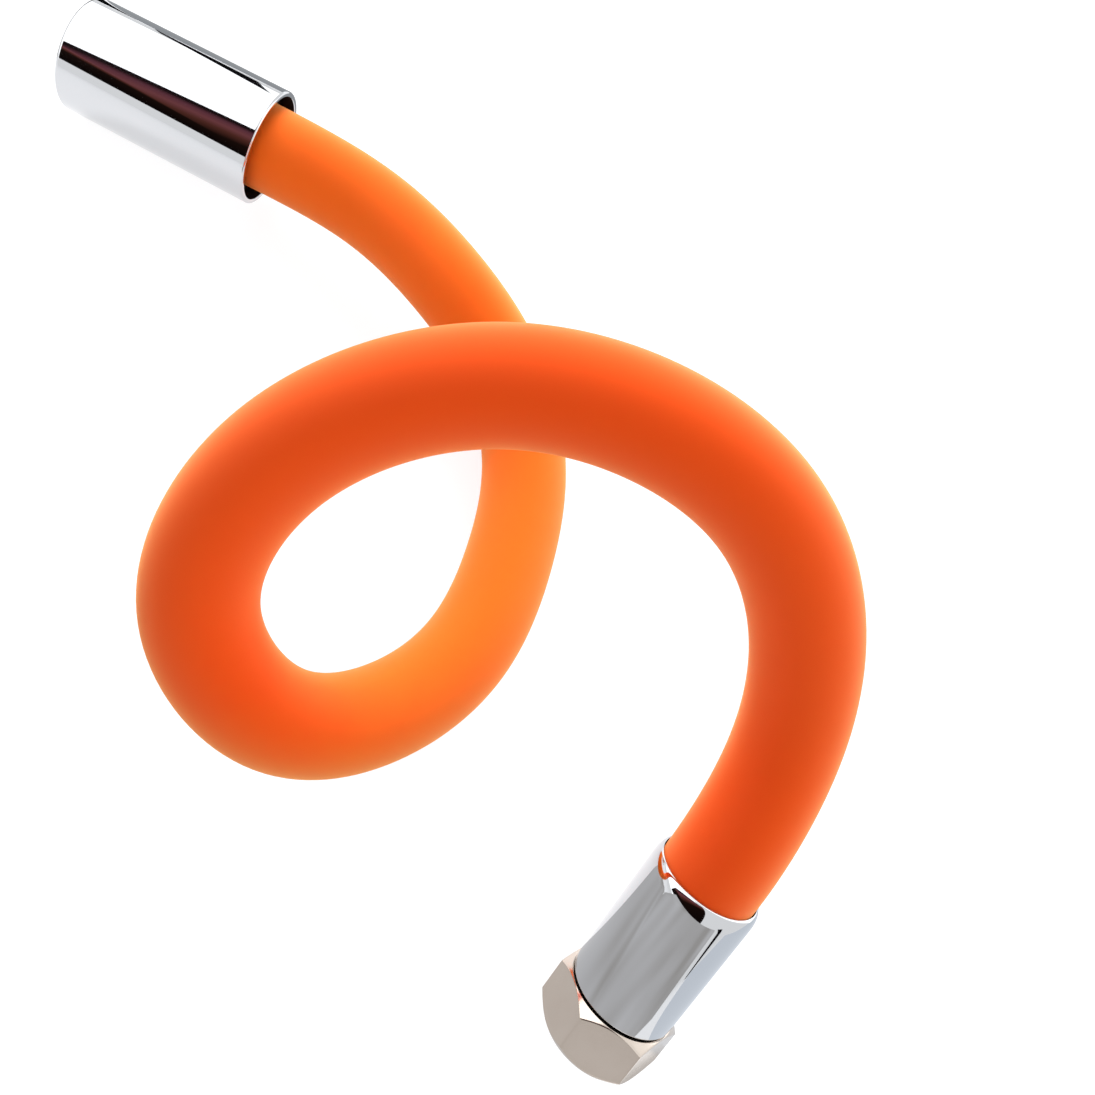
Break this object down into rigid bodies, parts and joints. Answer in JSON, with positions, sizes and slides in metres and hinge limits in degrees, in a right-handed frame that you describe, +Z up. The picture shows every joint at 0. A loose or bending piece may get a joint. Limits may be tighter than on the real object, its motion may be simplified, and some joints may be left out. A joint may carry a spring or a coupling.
{
  "type": "faucet extension hose",
  "caption": "Stay-put extension spout for a tap: an orange sleeved gooseneck hose bent into a loop, with chromed ferrules, a swivel nut at one end and an aerator barrel at the other.",
  "frame": {"origin": "The middle of the underside of the bounding box, on the surface that the hose lies on.", "axes": "+Z is up. +X runs from the outlet barrel towards the swivel nut, along the longest extent. +Y points away from the viewer."},
  "size_m": [0.2488, 0.1232, 0.0968],
  "materials": {
    "orange_silicone": "smooth matte silicone",
    "spring_steel": "bright spring wire",
    "zinc_steel": "zinc plated",
    "hose_rubber": "smooth, pale",
    "chrome": "polished",
    "brass": "turned",
    "aluminium": "pressed, plain",
    "black_rubber": "matte",
    "white_acetal": "moulded",
    "steel_mesh": "fine woven wire"
  },
  "bodies": {
    "hose": {"outer_sleeve": "orange_silicone", "gooseneck_round_wire": "spring_steel", "gooseneck_wedge_wire": "zinc_steel", "inner_hose": "hose_rubber", "inlet_ferrule": "chrome", "inlet_insert": "brass", "inlet_crimp_ring": "aluminium", "inlet_washer": "black_rubber", "outlet_ferrule": "chrome", "outlet_insert": "brass", "outlet_crimp_ring": "aluminium", "outlet_o_ring": "black_rubber", "aerator_washer": "black_rubber"},
    "swivel_nut": {"inlet_nut": "chrome"},
    "aerator_cartridge": {"aerator_body": "white_acetal", "aerator_strainer": "white_acetal", "aerator_jet_plate": "white_acetal", "aerator_screen_1": "steel_mesh", "aerator_screen_2": "steel_mesh", "aerator_outlet_grid": "white_acetal"},
    "aerator_ring": {"aerator_housing": "chrome"}
  },
  "joints": [
    {"name": "inlet_nut_spin", "type": "hinge", "parent": "hose", "child": "swivel_nut", "pos_m": [0.11064, -0.04002, 0.0133], "axis": [0.2427, -0.6568, -0.7139], "continuous": true},
    {"name": "aerator_travel", "type": "slide", "parent": "hose", "child": "aerator_cartridge", "axis": [-0.9349, -0.3468, -0.0754], "range_m": [0, 0.005]},
    {"name": "aerator_unscrew", "type": "hinge", "parent": "aerator_cartridge", "child": "aerator_ring", "pos_m": [-0.11258, 0.02919, 0.01349], "axis": [-0.9349, -0.3468, -0.0754], "range_deg": [0, 1800]}
  ],
  "couplings": [
    {"joint": "aerator_travel", "follows": "aerator_unscrew", "m_per_rad": 0.00015915}
  ]
}
